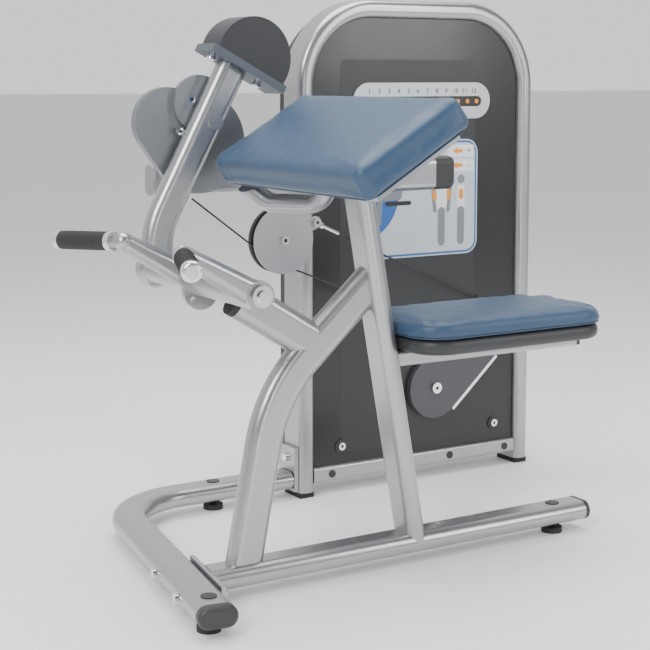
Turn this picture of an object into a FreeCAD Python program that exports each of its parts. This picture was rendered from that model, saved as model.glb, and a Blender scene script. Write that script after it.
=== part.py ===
"""Seated arm curl machine: rail base, resistance tower, sloping arm pad, lever with a self-aligning yoke.

World axes of the machine: +X runs along the main rail from the yoke to the seat, +Y runs from the
rail to the tower, +Z is up. Lengths are millimetres, angles degrees.
"""
import FreeCAD, Part

import math
import os
import re

import Sketcher
from FreeCAD import Placement, Rotation, Vector

SIZES = {
    # whole machine
    "centre_x": 815.594, "centre_y": 192.5,
    # flat-oval frame tube
    "tube_wide": 90, "tube_thin": 50, "tube_wall": 3, "tube_round": 25, 
    # base
    "foot_skew": 9.8, "foot_start_x": 133.7, "foot_start_y": -215, "foot_run": 690.6, "foot_bend": 220,
    "foot_turn": 80.2, "foot_far_run": 336, "cap_length": 26, "cap_fillet": 12,
    "flange_thick": 10, "flange_long": 240, "flange_tall": 44, "flange_bolt_span": 88,
    "bolt_round": 6, "bolt_clear": 6.3, "head_round": 11, "head_tall": 9,
    "blank_end": 24, "rail_top": 75, "leg_blank_end": 40, "seat_tube_back": 80,
    "carrier_back": 156, "beam_drop": 117, "upright_half": 48, "upright_thin": 16,
    "upright_over": 60, "upright_base": 905, "upright_shift": 41, "hanger_wide": 60,
    "hanger_thick": 8, "hanger_base": 720, "hanger_near": 462, "hanger_arm_tall": 40,
    "hanger_arm_drop": 60, "ear_thick": 4, "ear_near": 424, "ear_web_long": 100, "axle_long": 46,
    "rim_wide": 14, "terminal_long": 24, "terminal_lead": 4, "collar_gap": 22, "cable_gap": 100,
    "shaft_near": 358, "shaft_cap_tall": 7, "trim_half": 200, "trim_tall": 300,
    "cam_crown_deep": 15, "crown_x": 424, "crown_z": 1108, "shroud_rear": 692,
    "rail_end": 1305, "rail_blank": 200, "rail_trim_long": 300, "end_cap_thick": 12,
    "pad_foot_round": 27, "pad_foot_tall": 14, "stem_round": 8, "plug_round": 18, "plug_tall": 2,
    "foot_near_y": -166, "foot_far_x": 574, "foot_rear_x": 1226, "far_run_y": 648,
    # front leg, seat post and stop
    "leg_x": 318, "leg_angle": 11, "leg_run": 310, "leg_bend": 350, "leg_turn": 37, "leg_top_run": 300,
    "post_x": 776, "post_lean": 10.17, "post_run": 960,
    "stop_x": 310.5, "stop_z": 679.7, "stop_slope": 31.8, "stop_run": 228, "bumper_thick": 15.3,
    # tower
    "tower_x": 1224.5, "tower_wide": 811, "tower_top": 1386, "tower_front": 592, "tower_deep": 100,
    "tower_post": 50, "tower_corner": 215, "tower_edge": 20, "tower_foot_tall": 15,
    "bar_low": 35.5, "bar_tall": 44, "bar_setback": 8, "bar_plug_x": 928, "bar_plug_pitch": 205.3,
    "bar_plug_z": 57, "panel_front": 612, "panel_thick": 4, "panel_gap": 0.5,
    "shroud_deep": 48, "shroud_wall": 3,
    "plate_x": 1238.5, "plate_z": 1104, "plate_long": 477, "plate_tall": 104, "plate_thick": 6,
    "slot_long": 416, "slot_tall": 30, "dot_round": 6.5, "dot_pitch": 33.4, "dot_count": 12, "dot_shift": 9,
    "placard_x": 1223.5, "placard_z": 824, "placard_wide": 427, "placard_tall": 336, "placard_corner": 40,
    "placard_thick": 2,
    "guard_x": 1281, "guard_z": 267.5, "guard_round": 90, "guard_span": 215, "guard_long": 395,
    "guard_tall": 180, "guard_slope": 42,
    "guard_thick": 18, "guard_hub_round": 16,
    "bracket_thick": 12, "bracket_tall": 125, "bracket_deep": 86,
    # seat
    "seat_low_x": 716, "seat_high_x": 1290, "seat_half": 152, "seat_base": 563.3, "seat_thick": 39,
    "seat_corner": 60, "pan_base": 526, "pan_tall": 37, "seat_tube_base": 487, "seat_tube_tall": 39,
    "seat_tube_end": 1278,
    # arm pad
    "pad_x": 561, "pad_z": 1023, "pad_tilt": 31, "pad_long": 320, "pad_half": 332, "pad_thick": 80,
    "pad_round": 28, "pad_plate_long": 250, "pad_plate_half": 300, "pad_plate_thick": 16,
    "carrier_z": 945, "carrier_tall": 80, "carrier_end": 830, "carrier_cap": 62,
    "brace_round": 24,
    # lever
    "elbow_x": 440, "elbow_z": 1062, "lever_y": 385, "lever_wide": 80, "lever_thin": 50,
    "lever_x": 314, "lever_z": 848.6, "lever_slope": 28, "lever_run": 393, "lever_bend": 200,
    "lever_turn": 28,
    "lever_stub": 45, "boss_x": 284, "boss_z": 708, "boss_round": 46,
    "shaft_round": 15, "shaft_cap_round": 19, "shaft_clear": 15.05,
    "housing_round": 38, "housing_near": 462, "housing_far": 617, "beam_y": 642, "beam_end": 819,
    "weight_round": 102, "weight_x": 540, "weight_z": 1219, "weight_near": 337, "weight_far": 432,
    "weight_chord": 20, "weight_plate_thick": 20, "weight_plate_long": 226,
    "cam_near": 425, "cam_far": 449, "cam_egg_round": 127, "cam_lobe_round": 86, "cam_top_round": 70,
    # yoke
    "pivot_x": 271, "pivot_z": 710, "cross_round": 30, "inner_round": 22.9, "sleeve_round": 33,
    "sleeve_bore": 22.95, "sleeve_half": 170, "cross_near": 172, "yoke_y": 150, "arm_tall": 58,
    "arm_thin": 38,
    "arm_tip": 42, "arm_run": 200.3, "arm_slope": 29.1, "lug_round": 44, "lug_y": 108, "lug_thick": 14,
    "grip_sweep": 21.06, "grip_drop": 2.64, "grip_rod_round": 15, "grip_round": 22, "grip_rod_run": 190,
    "collar_start": 27, "collar_long": 15, "rubber_long": 151, "dome_start": 193, "dome_long": 21,
    "dome_fillet": 9,
    # cables and their pulley
    "pulley_x": 671, "pulley_z": 752, "pulley_near": 430, "groove_round": 55, "flange_round": 87,
    "guard_disc_round": 88, "ear_x": 768, "ear_z": 794, "ear_round": 16, "cable_round": 2.5,
    "cable_y": 437, "axle_round": 8, "axle_clear": 8.06,
    # resistance unit inside the tower
    "rod_round": 8, "rod_clear": 8.06, "rod_span": 75, "rod_y": 634, "rod_low": 79.5, "rod_top": 1336,
    "carriage_wide": 230, "carriage_deep": 30, "carriage_tall": 60, "carriage_low": 330,
}

doc = FreeCAD.newDocument("arm_curl_machine")
sheet = doc.addObject("Spreadsheet::Sheet", "Sizes")
for row, (alias, number) in enumerate(SIZES.items(), 1):
    sheet.set(f"A{row}", alias)
    sheet.set(f"B{row}", str(number))
    sheet.setAlias(f"B{row}", alias)
doc.recompute()

NODES = []
CENTRE = Vector(SIZES["centre_x"], SIZES["centre_y"], 0)
UPRIGHT = Rotation()
TO_BACK = Rotation(Vector(1, 0, 0), -90)      # local Z runs along +Y, local X stays
TO_FRONT = Rotation(Vector(1, 0, 0), 90)      # local Z runs along -Y
TO_SEAT = Rotation(Vector(1, 1, 1), 120)      # local Z runs along +X, local X along +Y
SIDEWAYS = Rotation(Vector(0, 0, 1), 90)


def size(alias):
    """Value of one sheet cell."""
    return float(sheet.get(alias))


def bound(text):
    """Expression text with every size name pointed at the sheet."""
    return re.sub(r"[a-z_]+", lambda m: "Sizes." + m[0] if m[0] in SIZES else m[0], text)


def lean(angle):
    """Turn about Y that leans local Z towards +X."""
    return Rotation(Vector(0, 1, 0), angle)


def put(obj, x, y, z, turn=UPRIGHT):
    """Place an object by its machine coordinates."""
    obj.Placement = Placement(Vector(x, y, z) - CENTRE, turn)
    return obj


def node(obj, label):
    """Name an object as one finished sub-part."""
    obj.Label = label
    NODES.append(obj)
    return obj


def primitive(kind, name, **cells):
    """Part primitive whose properties follow expressions on the sheet."""
    obj = doc.addObject("Part::" + kind, name)
    for prop, text in cells.items():
        obj.setExpression(prop, bound(text))
    return obj


def cylinder(name, radius, height):
    return primitive("Cylinder", name, Radius=radius, Height=height)


def box(name, length, width, height):
    return primitive("Box", name, Length=length, Width=width, Height=height)


def join(name, *shapes):
    obj = doc.addObject("Part::MultiFuse", name)
    obj.Shapes = list(shapes)
    return obj


def cut(name, base, tool):
    obj = doc.addObject("Part::Cut", name)
    obj.Base = base
    obj.Tool = tool
    return obj


def rounded(name, base, radius, pick):
    """Fillet on the edges of base that pick chooses."""
    doc.recompute()
    obj = doc.addObject("Part::Fillet", name)
    obj.Base = base
    edges = enumerate(base.Shape.Edges, 1)
    obj.Edges = [(number, size(radius), size(radius)) for number, edge in edges if pick(edge)]
    return obj


def plane(body, role):
    return [feature for feature in body.Origin.OriginFeatures if feature.Role == role][0]


def sketch_on(body, name, role="XY_Plane"):
    sketch = body.newObject("Sketcher::SketchObject", name)
    sketch.AttachmentSupport = (plane(body, role), [""])
    sketch.MapMode = "FlatFace"
    return sketch


def oval(sketch, wide, thin, wall=""):
    """Flat-oval outline about the sketch origin, long side along its X axis."""
    inset = 2 * size(wall) if wall else 0
    less = f" - 2 * {wall}" if wall else ""
    radius = (size(thin) - inset) / 2
    offset = (size(wide) - size(thin)) / 2
    first = sketch.GeometryCount
    right = Part.Circle(Vector(offset, 0, 0), Vector(0, 0, 1), radius)
    left = Part.Circle(Vector(-offset, 0, 0), Vector(0, 0, 1), radius)
    sketch.addGeometry(Part.ArcOfCircle(right, -math.pi / 2, math.pi / 2))
    sketch.addGeometry(Part.LineSegment(Vector(offset, radius, 0), Vector(-offset, radius, 0)))
    sketch.addGeometry(Part.ArcOfCircle(left, math.pi / 2, 3 * math.pi / 2))
    sketch.addGeometry(Part.LineSegment(Vector(-offset, -radius, 0), Vector(offset, -radius, 0)))
    for step in range(4):
        sketch.addConstraint(Sketcher.Constraint("Tangent", first + step, 2, first + (step + 1) % 4, 1))
    sketch.addConstraint(Sketcher.Constraint("Equal", first, first + 2))
    sketch.addConstraint(Sketcher.Constraint("Symmetric", first, 3, first + 2, 3, -1, 1))
    sketch.addConstraint(Sketcher.Constraint("Horizontal", first + 1))
    ring = sketch.addConstraint(Sketcher.Constraint("Radius", first, radius))
    span = sketch.addConstraint(Sketcher.Constraint("DistanceX", first + 2, 3, first, 3, 2 * offset))
    sketch.setExpression(f"Constraints[{ring}]", bound(f"({thin}{less}) / 2"))
    sketch.setExpression(f"Constraints[{span}]", bound(f"{wide} - {thin}"))


def straight(name, length, wide="tube_wide", thin="tube_thin", wall="tube_wall"):
    """Straight flat-oval member along local Z; an empty wall makes it solid."""
    body = doc.addObject("PartDesign::Body", name)
    sketch = sketch_on(body, name + "_section")
    oval(sketch, wide, thin)
    if wall:
        oval(sketch, wide, thin, wall)
    pad = body.newObject("PartDesign::Pad", name + "_pad")
    pad.Profile = sketch
    pad.setExpression("Length", bound(length))
    return body


def path_on(sketch, runs, bends):
    """Tangent lines and arcs from the sketch origin, starting up its Y axis.

    runs are size names; bends are (radius name, turn name, side), side +1 turning towards +X.
    """
    point, heading = Vector(), math.pi / 2
    previous = None
    for index, run in enumerate(runs):
        step = Vector(math.cos(heading), math.sin(heading), 0) * size(run)
        line = sketch.addGeometry(Part.LineSegment(point, point + step))
        point = point + step
        if previous is None:
            sketch.addConstraint(Sketcher.Constraint("Coincident", line, 1, -1, 1))
            sketch.addConstraint(Sketcher.Constraint("Vertical", line))
        else:
            sketch.addConstraint(Sketcher.Constraint("Tangent", previous[0], previous[1], line, 1))
            angle = sketch.addConstraint(Sketcher.Constraint("Angle", line, heading))
            sketch.setExpression(f"Constraints[{angle}]", bound(f"(90 - {previous[2]}) * 1 deg"))
        long = sketch.addConstraint(Sketcher.Constraint("Distance", line, size(run)))
        sketch.setExpression(f"Constraints[{long}]", bound(run))
        if index == len(bends):
            break
        radius, turn, side = bends[index]
        normal = Vector(math.sin(heading), -math.cos(heading), 0) * side
        middle = point + normal * size(radius)
        begin = math.atan2(-normal.y, -normal.x)
        sweep = -side * math.radians(size(turn))
        ring = Part.Circle(middle, Vector(0, 0, 1), size(radius))
        arc = sketch.addGeometry(Part.ArcOfCircle(ring, min(begin, begin + sweep), max(begin, begin + sweep)))
        entry, leave = (2, 1) if side > 0 else (1, 2)
        sketch.addConstraint(Sketcher.Constraint("Tangent", line, 2, arc, entry))
        bend = sketch.addConstraint(Sketcher.Constraint("Radius", arc, size(radius)))
        sketch.setExpression(f"Constraints[{bend}]", bound(radius))
        heading += sweep
        point = middle + Vector(math.cos(begin + sweep), math.sin(begin + sweep), 0) * size(radius)
        total = turn if previous is None else f"{previous[2]} + {turn}"
        previous = (arc, leave, total if side > 0 else f"-{turn}")


def bent(name, runs, bends, wide="tube_wide", thin="tube_thin", wall="tube_wall"):
    """Bent flat-oval tube in its local XZ plane, the wide side in that plane."""
    body = doc.addObject("PartDesign::Body", name)
    section = sketch_on(body, name + "_section")
    oval(section, wide, thin)
    if wall:
        oval(section, wide, thin, wall)
    path = sketch_on(body, name + "_path", "XZ_Plane")
    path_on(path, runs, bends)
    doc.recompute()
    pipe = body.newObject("PartDesign::AdditivePipe", name + "_pipe")
    pipe.Profile = section
    pipe.Spine = (path, [f"Edge{number + 1}" for number in range(path.GeometryCount)])
    return body


def bolt(name, shank, head="head_round"):
    """Bolt along local Z with its domed head below the origin."""
    body = cylinder(name + "_shank", "bolt_round", shank)
    cap = cylinder(name + "_head", head, "head_tall")
    cap.Placement.Base = Vector(0, 0, -size("head_tall"))
    return join(name, body, cap)


def line_at(x, z, slope, distance):
    """Point at a distance up a line that leans from vertical towards +X."""
    angle = math.radians(slope)
    return x + distance * math.sin(angle), z + distance * math.cos(angle)


# ---------------------------------------------------------------- base
skew = size("foot_skew")
foot_turn = Rotation(Vector(0, 0, 1), -skew)
foot_lie = foot_turn.multiply(Rotation(Vector(0, 0, 1), 180)).multiply(TO_FRONT)
rail_z = size("tube_round") * 2


def foot_axis(y):
    """X of the front foot tube's centre line at a given Y."""
    return size("foot_start_x") + (y - size("foot_start_y")) * math.tan(math.radians(skew))


def place_foot(obj):
    return put(obj, size("foot_start_x"), size("foot_start_y"), rail_z, foot_lie)


def across_foot(obj, y, start):
    """Place an object on the skewed foot tube, local Z across it towards the seat."""
    offset = Vector(start, y, 0)
    origin = Vector(foot_axis(0), 0, rail_z)
    turned = foot_turn.multVec(offset)
    return put(obj, origin.x + turned.x, origin.y + turned.y, origin.z, foot_turn.multiply(TO_SEAT))


foot_whole = place_foot(bent("foot_whole", ["foot_run", "foot_far_run"], [("foot_bend", "foot_turn", -1)]))
foot_holes = []
for side in (-1, 1):
    hole = cylinder(f"foot_hole_{side}", "bolt_clear", "3 * tube_wide")
    foot_holes.append(across_foot(hole, side * size("flange_bolt_span"), -1.5 * size("tube_wide")))
node(cut("foot_bored", foot_whole, join("foot_holes", *foot_holes)), "front_foot_tube")

foot_cap = put(straight("foot_cap", "cap_length", wall=""), size("foot_start_x"), size("foot_start_y"),
               rail_z,
               foot_turn.multiply(TO_FRONT))
cap_middle = size("foot_start_y") - size("centre_y") - size("cap_length") / 2
node(rounded("foot_cap_round", foot_cap, "cap_fillet", lambda edge: edge.BoundBox.YMax < cap_middle),
     "front_foot_cap")

flange_face = size("tube_wide") / 2
flange_blank = box("flange_blank", "flange_long", "flange_tall", "flange_thick")
across_foot(flange_blank, -size("flange_long") / 2, flange_face)
flange_blank.Placement.Base.z = rail_z - size("flange_tall") / 2
flange_holes = []
for side in (-1, 1):
    hole = cylinder(f"flange_hole_{side}", "bolt_clear", "3 * tube_wide")
    flange_holes.append(across_foot(hole, side * size("flange_bolt_span"), -1.5 * size("tube_wide")))
node(cut("flange_bored", flange_blank, join("flange_holes", *flange_holes)), "rail_flange")

flange_bolts = []
for side in (-1, 1):
    reach = size("tube_wide") / 2
    stud = bolt(f"flange_bolt_{side}", "tube_wide + flange_thick + head_tall")
    flange_bolts.append(across_foot(stud, side * size("flange_bolt_span"), -reach))
    nut = cut(f"flange_nut_{side}", cylinder(f"nut_blank_{side}", "head_round", "head_tall"),
              cylinder(f"nut_bore_{side}", "bolt_round", "head_tall"))
    flange_bolts.append(across_foot(nut, side * size("flange_bolt_span"), reach + size("flange_thick")))
node(join("flange_bolt_set", *flange_bolts), "flange_bolts")

RAIL_BLANK_X = size("rail_blank")
rail_whole = put(straight("rail_whole", "rail_end - rail_blank"), RAIL_BLANK_X, 0, rail_z, TO_SEAT)
rail_trim = across_foot(box("rail_trim", "rail_trim_long", "rail_blank", "rail_blank"),
                        -size("rail_trim_long") / 2, flange_face + size("flange_thick") - RAIL_BLANK_X)
rail_trim.Placement.Base.z = rail_z - RAIL_BLANK_X / 2
node(cut("rail_cut", rail_whole, rail_trim), "main_rail")
node(put(straight("rail_cap", "end_cap_thick", wall=""), size("rail_end"), 0, rail_z, TO_SEAT),
     "rail_end_cap")
rail_solid = put(straight("rail_solid", "rail_end - rail_blank", wall=""), RAIL_BLANK_X, 0, rail_z, TO_SEAT)

foot_points = [(foot_axis(size("foot_near_y")), size("foot_near_y")),
               (size("foot_far_x"), size("far_run_y")),
               (size("foot_rear_x"), 0)]
feet, plugs = [], []
for number, (x, y) in enumerate(foot_points, 1):
    feet.append(put(cylinder(f"foot_disc_{number}", "pad_foot_round", "pad_foot_tall"), x, y, 0))
    feet.append(put(cylinder(f"foot_stem_{number}", "stem_round", "25 - pad_foot_tall"), x, y,
                    size("pad_foot_tall")))
    plugs.append(put(cylinder(f"plug_disc_{number}", "plug_round", "plug_tall"), x, y, size("rail_top")))
node(join("feet_set", *feet), "leveling_feet")
node(join("plug_set", *plugs), "foot_tube_plugs")

# ---------------------------------------------------------------- leg, post and stop tube
post_turn = lean(-size("post_lean")).multiply(SIDEWAYS)
post_start = line_at(size("post_x"), size("rail_top"), -size("post_lean"), -size("blank_end"))


def place_post(obj):
    return put(obj, post_start[0], 0, post_start[1], post_turn)


pad_turn = lean(-size("pad_tilt"))
pad_axis = pad_turn.multVec(Vector(0, 0, 1))
pad_slope = pad_turn.multVec(Vector(1, 0, 0))
pad_middle = Vector(size("pad_x"), 0, size("pad_z"))


def on_pad(obj, along, across, up):
    """Place an object in the pad's own tilted axes, measured from the pad's middle."""
    spot = pad_middle + pad_slope * along + Vector(0, across, 0) + pad_axis * up
    return put(obj, spot.x, spot.y, spot.z, pad_turn)


def above_plate(name):
    """Block that fills everything above the underside of the pad's plate."""
    block = box(name, "1200", "1200", "400")
    return on_pad(block, -600, -600, -size("pad_thick") / 2 - size("pad_plate_thick"))


post_whole = place_post(straight("post_whole", "post_run + blank_end"))
post_tools = join("post_tools", rail_solid, above_plate("above_post"))
node(cut("post_cut", post_whole, post_tools), "seat_post")
post_solid = place_post(straight("post_solid", "post_run + blank_end", wall=""))

leg_turn = lean(size("leg_angle"))
leg_start = line_at(size("leg_x"), size("rail_top"), size("leg_angle"), -size("leg_blank_end"))


def place_leg(obj):
    return put(obj, leg_start[0], 0, leg_start[1], leg_turn)


LEG_RUNS = ["leg_run", "leg_top_run"]
LEG_BENDS = [("leg_bend", "leg_turn", 1)]
leg_whole = place_leg(bent("leg_whole", LEG_RUNS, LEG_BENDS))
behind_post = box("behind_post", "300", "300", "post_run")
behind_turn = lean(-size("post_lean"))
behind_shift = behind_turn.multVec(Vector(0, -150, 0))
put(behind_post, post_start[0] + behind_shift.x, behind_shift.y, post_start[1], behind_turn)
node(cut("leg_cut", leg_whole, join("leg_tools", rail_solid, post_solid, behind_post)), "front_leg")
leg_solid = place_leg(bent("leg_solid", LEG_RUNS, LEG_BENDS, wall=""))

stop_turn = lean(90 + size("stop_slope"))
stop_whole = put(straight("stop_whole", "stop_run"), size("stop_x"), 0, size("stop_z"), stop_turn)
node(cut("stop_cut", stop_whole, leg_solid), "stop_tube")
node(put(straight("bumper", "bumper_thick", wall=""), size("stop_x"), 0, size("stop_z"),
         lean(size("stop_slope") - 90)), "stop_bumper")

# ---------------------------------------------------------------- tower
tower_left = size("tower_x") - size("tower_wide") / 2
tower_middle_y = size("tower_front") + size("tower_deep") / 2


def rounded_section(sketch, wide, tall, radius):
    """Upright rectangle with rounded corners about the sketch origin."""
    x, y = wide / 2 - radius, tall / 2 - radius
    centres = [(x, -y), (x, y), (-x, y), (-x, -y)]
    ends = []
    for step, (cx, cy) in enumerate(centres):
        ring = Part.Circle(Vector(cx, cy, 0), Vector(0, 0, 1), radius)
        start = (step - 1) * math.pi / 2
        arc = Part.ArcOfCircle(ring, start, start + math.pi / 2)
        ends.append((sketch.addGeometry(arc), arc.StartPoint, arc.EndPoint))
    for step in range(4):
        this, following = ends[step], ends[(step + 1) % 4]
        line = sketch.addGeometry(Part.LineSegment(this[2], following[1]))
        sketch.addConstraint(Sketcher.Constraint("Coincident", this[0], 2, line, 1))
        sketch.addConstraint(Sketcher.Constraint("Coincident", line, 2, following[0], 1))


def portal(name, wall):
    """The tower's arch: two posts and a top bar in one bent tube."""
    body = doc.addObject("PartDesign::Body", name)
    section = sketch_on(body, name + "_section")
    rounded_section(section, size("tower_post"), size("tower_deep"), size("tower_edge"))
    if wall:
        inset = 2 * size(wall)
        rounded_section(section, size("tower_post") - inset, size("tower_deep") - inset,
                        size("tower_edge") - size(wall))
    path = sketch_on(body, name + "_path", "XZ_Plane")
    radius = size("tower_corner")
    rise = size("tower_top") - size("tower_post") / 2 - size("tower_foot_tall") - radius
    across = size("tower_wide") - size("tower_post") - 2 * radius
    first = Part.Circle(Vector(radius, rise, 0), Vector(0, 0, 1), radius)
    second = Part.Circle(Vector(radius + across, rise, 0), Vector(0, 0, 1), radius)
    path.addGeometry(Part.LineSegment(Vector(), Vector(0, rise, 0)))
    path.addGeometry(Part.ArcOfCircle(first, math.pi / 2, math.pi))
    path.addGeometry(Part.LineSegment(Vector(radius, rise + radius, 0), Vector(radius + across,
                                                                               rise + radius, 0)))
    path.addGeometry(Part.ArcOfCircle(second, 0, math.pi / 2))
    path.addGeometry(Part.LineSegment(Vector(2 * radius + across, rise, 0), Vector(2 * radius + across, 0,
                                                                                   0)))
    for step, (end, start) in enumerate([(2, 2), (1, 1), (2, 2), (1, 1)]):
        path.addConstraint(Sketcher.Constraint("Coincident", step, end, step + 1, start))
    doc.recompute()
    pipe = body.newObject("PartDesign::AdditivePipe", name + "_pipe")
    pipe.Profile = section
    pipe.Spine = (path, [f"Edge{number}" for number in range(1, 6)])
    return body


node(put(portal("tower_arch", "tube_wall"), tower_left + size("tower_post") / 2, tower_middle_y,
         size("tower_foot_tall")), "tower_frame")
inner_left = tower_left + size("tower_post")
inner_wide = size("tower_wide") - 2 * size("tower_post")
bar = box("bottom_bar", "tower_wide - 2 * tower_post", "tube_thin", "bar_tall")
bar_front = size("tower_front") + size("bar_setback")
put(bar, inner_left, bar_front, size("bar_low"))
bar_soft = rounded("bottom_bar_round", bar, "head_tall",
                    lambda edge: (abs(edge.Vertexes[0].Y - edge.Vertexes[-1].Y) < 1
                                  and edge.BoundBox.XLength > 100))
node(bar_soft, "tower_bottom_bar")

bar_plugs = []
for number in range(4):
    dot = cylinder(f"bar_plug_{number}", "head_round", "plug_tall")
    bar_plugs.append(put(dot, size("bar_plug_x") + number * size("bar_plug_pitch"), bar_front,
                         size("bar_plug_z"), TO_FRONT))
node(join("bar_plug_set", *bar_plugs), "bar_plugs")

tower_feet = []
for number, x in enumerate((tower_left, tower_left + size("tower_wide") - size("tower_post"))):
    pad = box(f"tower_foot_{number}", "tower_post - 6", "tower_deep - 12", "tower_foot_tall")
    tower_feet.append(put(pad, x + 3, size("tower_front") + 6, 0))
node(join("tower_feet_set", *tower_feet), "tower_feet")

node(put(box("bracket", "bracket_thick", "bracket_deep", "bracket_tall"),
         tower_left - size("bracket_thick"), size("far_run_y") - size("bracket_deep") / 2, 20),
         "tower_bracket")


def arched_plate(name, thick, gap):
    """Plate with the inner outline of the arch, standing on the bottom bar."""
    body = doc.addObject("PartDesign::Body", name)
    outline = sketch_on(body, name + "_outline", "XZ_Plane")
    low = size("bar_low") + size("bar_tall") + gap
    high = size("tower_top") - size("tower_post") - gap
    half = inner_wide / 2 - gap
    radius = size("tower_corner") - size("tower_post") / 2 - gap
    left = Part.Circle(Vector(-half + radius, high - radius, 0), Vector(0, 0, 1), radius)
    right = Part.Circle(Vector(half - radius, high - radius, 0), Vector(0, 0, 1), radius)
    outline.addGeometry(Part.LineSegment(Vector(-half, low, 0), Vector(half, low, 0)))
    outline.addGeometry(Part.LineSegment(Vector(half, low, 0), Vector(half, high - radius, 0)))
    outline.addGeometry(Part.ArcOfCircle(right, 0, math.pi / 2))
    outline.addGeometry(Part.LineSegment(Vector(half - radius, high, 0), Vector(-half + radius, high, 0)))
    outline.addGeometry(Part.ArcOfCircle(left, math.pi / 2, math.pi))
    outline.addGeometry(Part.LineSegment(Vector(-half, high - radius, 0), Vector(-half, low, 0)))
    for step in range(6):
        outline.addConstraint(Sketcher.Constraint("Coincident", step, 2, (step + 1) % 6, 1))
    pad = body.newObject("PartDesign::Pad", name + "_pad")
    pad.Profile = outline
    pad.Reversed = True
    pad.setExpression("Length", bound(thick))
    return body


node(put(arched_plate("front_panel", "panel_thick", size("panel_gap")), size("tower_x"), size("panel_front"),
         0),
     "tower_front_panel")
shroud_outer = put(arched_plate("shroud_outer", "shroud_deep", -27), size("tower_x"), size("shroud_rear"), 0)
shroud_inner = put(arched_plate("shroud_inner", "shroud_deep", -24), size("tower_x"),
                   size("shroud_rear") - size("shroud_wall"), 0)
node(cut("shroud", shroud_outer, shroud_inner), "tower_rear_shroud")

PANEL_BOLTS = ((964, 130), (1507, 133))
tower_bolts = []
for number, (x, z) in enumerate(PANEL_BOLTS):
    washer = put(cylinder(f"panel_washer_{number}", "plug_round", "plug_tall"), x, size("panel_front"), z,
                 TO_FRONT)
    dome = put(cylinder(f"panel_dome_{number}", "head_round", "head_tall"), x, size("panel_front"), z,
               TO_FRONT)
    tower_bolts += [washer, dome]
bracket_bolt = cylinder("bracket_dome", "head_round", "head_tall")
put(bracket_bolt, tower_left - size("bracket_thick"), size("far_run_y"), 112, lean(-90))
tower_bolts.append(bracket_bolt)
node(join("tower_bolt_set", *tower_bolts), "tower_bolts")

plate_blank = straight("plate_blank", "plate_thick", "plate_long", "plate_tall", "")
put(plate_blank, size("plate_x"), size("panel_front"), size("plate_z"), TO_FRONT)
plate_slot = straight("plate_slot", "plate_thick", "slot_long", "slot_tall", "")
put(plate_slot, size("plate_x"), size("panel_front"), size("plate_z") - size("plug_tall"), TO_FRONT)
node(cut("plate_slotted", plate_blank, plate_slot), "selector_plate")
dots = []
first_dot = size("plate_x") - (size("dot_count") - 1) * size("dot_pitch") / 2 + size("dot_shift")
for number in range(int(size("dot_count"))):
    dot = cylinder(f"level_dot_{number + 1}", "dot_round", "plate_thick / 2")
    dots.append(put(dot, first_dot + number * size("dot_pitch"), size("panel_front"),
                    size("plate_z") - size("plug_tall"), TO_FRONT))
node(join("dot_set", *dots), "selector_dots")

placard = box("placard", "placard_wide", "placard_thick", "placard_tall")
put(placard, size("placard_x") - size("placard_wide") / 2, size("panel_front") - size("placard_thick"),
    size("placard_z") - size("placard_tall") / 2)
node(rounded("placard_round", placard, "placard_corner", lambda edge: edge.BoundBox.YLength > 1),
     "instruction_placard")

guard_turn = Rotation(Vector(0, 1, 0), -size("guard_slope")).multiply(TO_FRONT)
guard_half = size("guard_span") / 2
guard_dx = guard_half * math.cos(math.radians(size("guard_slope")))
guard_dz = guard_half * math.sin(math.radians(size("guard_slope")))
guard = straight("guard_shell", "guard_thick", "guard_long", "guard_tall", "")
node(put(guard, size("guard_x") + guard_dx, size("panel_front"), size("guard_z") + guard_dz, guard_turn),
     "lower_guard")
node(put(cylinder("guard_boss", "guard_hub_round", "head_tall"), size("guard_x"),
         size("panel_front") - size("guard_thick"), size("guard_z"), TO_FRONT), "guard_hub")
bar_strip = box("guard_strip", "guard_span", "guard_thick", "head_tall")
strip_turn = Rotation(Vector(0, 1, 0), -size("guard_slope"))
strip_drop = strip_turn.multVec(Vector(0, 0, -size("guard_round") - size("head_tall") - 0.5))
node(put(bar_strip, size("guard_x") + strip_drop.x, size("panel_front") - size("guard_thick"),
         size("guard_z") + strip_drop.z, strip_turn), "guard_bar")

# ---------------------------------------------------------------- seat
seat_long = "seat_high_x - seat_low_x"
tube = box("seat_tube_bar", "seat_tube_end - post_x + seat_tube_back", "tube_thin", "seat_tube_tall")
put(tube, size("post_x") - size("seat_tube_back"), -size("tube_round"), size("seat_tube_base"))
tube_soft = rounded("seat_tube_round", tube, "head_tall", lambda edge: edge.BoundBox.XLength > 100)
node(cut("seat_tube_cut", tube_soft, post_solid), "seat_tube")
node(put(box("seat_tube_plug", "end_cap_thick", "tube_thin - 4", "seat_tube_tall - 4"), size("seat_tube_end"),
         -size("tube_round") + 2, size("seat_tube_base") + 2), "seat_tube_cap")


def upright_corners(name, block, radius):
    return rounded(name, block, radius, lambda edge: edge.BoundBox.ZLength > 20)


pan = box("pan_block", seat_long + " - 16", "2 * seat_half - 8", "pan_tall")
put(pan, size("seat_low_x") + 8, -size("seat_half") + 4, size("pan_base"))
node(upright_corners("pan_round", pan, "seat_corner"), "seat_pan")
cushion = box("cushion_block", seat_long, "2 * seat_half", "seat_thick")
put(cushion, size("seat_low_x"), -size("seat_half"), size("seat_base"))
node(upright_corners("cushion_round", cushion, "seat_corner"), "seat_cushion")

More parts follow.
